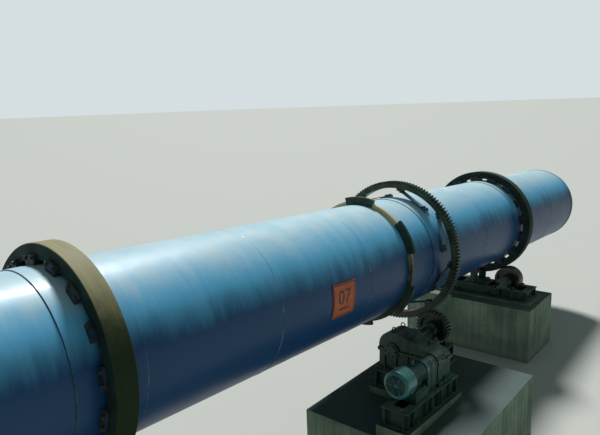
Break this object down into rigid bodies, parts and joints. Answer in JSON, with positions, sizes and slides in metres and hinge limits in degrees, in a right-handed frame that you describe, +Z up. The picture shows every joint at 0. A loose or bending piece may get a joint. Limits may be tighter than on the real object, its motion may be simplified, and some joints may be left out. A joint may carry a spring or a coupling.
{
  "type": "rotary drum dryer",
  "caption": "Sloping steel drum on riding rings and support rollers, turned by a girth gear, pinion, reducer and motor, on concrete piers.",
  "frame": {"origin": "middle of the discharge pier's foot, on the ground", "axes": "+X level and downhill towards the discharge end, +Y away from the drive side, +Z up"},
  "size_m": [17.445, 3.7, 4.2584],
  "materials": {
    "shell_paint": "satin blue paint, weathered",
    "tyre_steel": "rolled steel with rust film",
    "gear_steel": "dark greased casting",
    "flight_steel": "bare plate, rusted",
    "sign_paint": "orange paint",
    "roller_steel": "turned steel",
    "machine_paint": "dark green paint with oil film",
    "motor_paint": "teal green paint",
    "concrete": "board marked concrete"
  },
  "bodies": {
    "foundations": {"pier_feed": "concrete", "pier_discharge": "concrete", "drive_pedestal": "concrete", "roller_frame_feed": "machine_paint", "roller_frame_discharge": "machine_paint", "bearings_feed": "machine_paint", "bearings_discharge": "machine_paint", "thrust_bracket": "machine_paint", "drive_frame": "machine_paint", "reducer_case": "machine_paint", "reducer_cover": "machine_paint", "reducer_caps": "machine_paint", "motor": "motor_paint", "fan_cowl": "motor_paint", "coupling_guard": "machine_paint", "pinion_bearings": "machine_paint"},
    "drum": {"drum_shell": "shell_paint", "tyre_feed": "tyre_steel", "tyre_discharge": "tyre_steel", "tyre_pads_feed": "shell_paint", "tyre_pads_discharge": "shell_paint", "girth_gear": "gear_steel", "gear_spring_plates": "shell_paint", "gear_shoes": "shell_paint", "lug_ring": "gear_steel", "flights_feed": "flight_steel", "flights_middle": "flight_steel", "flights_discharge": "flight_steel", "sign_plate": "sign_paint"},
    "roller_set_feed_near": {"roller_feed_near": "roller_steel", "roller_shaft_feed_near": "roller_steel"},
    "roller_set_feed_far": {"roller_feed_far": "roller_steel", "roller_shaft_feed_far": "roller_steel"},
    "roller_set_discharge_near": {"roller_discharge_near": "roller_steel", "roller_shaft_discharge_near": "roller_steel"},
    "roller_set_discharge_far": {"roller_discharge_far": "roller_steel", "roller_shaft_discharge_far": "roller_steel"},
    "thrust_uphill": {"thrust_roller_uphill": "roller_steel"},
    "thrust_downhill": {"thrust_roller_downhill": "roller_steel"},
    "pinion_line": {"pinion": "gear_steel", "pinion_shaft": "roller_steel", "low_speed_coupling": "machine_paint"}
  },
  "joints": [
    {"name": "drum_spin", "type": "hinge", "parent": "foundations", "child": "drum", "pos_m": [0.07137, 0, 2.7], "axis": [0.9989, 0, -0.0459], "continuous": true},
    {"name": "roller_feed_near_spin", "type": "hinge", "parent": "foundations", "child": "roller_set_feed_near", "pos_m": [-9.67326, -0.69015, 1.95098], "axis": [0.9989, 0, -0.0459], "continuous": true},
    {"name": "roller_feed_far_spin", "type": "hinge", "parent": "foundations", "child": "roller_set_feed_far", "pos_m": [-9.67326, 0.69015, 1.95098], "axis": [0.9989, 0, -0.0459], "continuous": true},
    {"name": "roller_discharge_near_spin", "type": "hinge", "parent": "foundations", "child": "roller_set_discharge_near", "pos_m": [0.01652, -0.69015, 1.50588], "axis": [0.9989, 0, -0.0459], "continuous": true},
    {"name": "roller_discharge_far_spin", "type": "hinge", "parent": "foundations", "child": "roller_set_discharge_far", "pos_m": [0.01652, 0.69015, 1.50588], "axis": [0.9989, 0, -0.0459], "continuous": true},
    {"name": "thrust_uphill_spin", "type": "hinge", "parent": "foundations", "child": "thrust_uphill", "pos_m": [-0.21209, 0, 1.65691], "axis": [0.0459, 0, 0.9989], "continuous": true},
    {"name": "thrust_downhill_spin", "type": "hinge", "parent": "foundations", "child": "thrust_downhill", "pos_m": [0.25801, 0, 1.63531], "axis": [0.0459, 0, 0.9989], "continuous": true},
    {"name": "pinion_spin", "type": "hinge", "parent": "foundations", "child": "pinion_line", "pos_m": [-3.66548, -0.77371, 1.65589], "axis": [0.9989, 0, -0.0459], "continuous": true}
  ],
  "couplings": [
    {"joint": "roller_feed_near_spin", "follows": "drum_spin", "ratio": -4.1111},
    {"joint": "roller_feed_far_spin", "follows": "drum_spin", "ratio": -4.1111},
    {"joint": "roller_discharge_near_spin", "follows": "drum_spin", "ratio": -4.1111},
    {"joint": "roller_discharge_far_spin", "follows": "drum_spin", "ratio": -4.1111},
    {"joint": "thrust_uphill_spin", "follows": "drum_spin", "ratio": 8.1154},
    {"joint": "thrust_downhill_spin", "follows": "drum_spin", "ratio": -8.1154},
    {"joint": "pinion_spin", "follows": "drum_spin", "ratio": -4.3333}
  ]
}
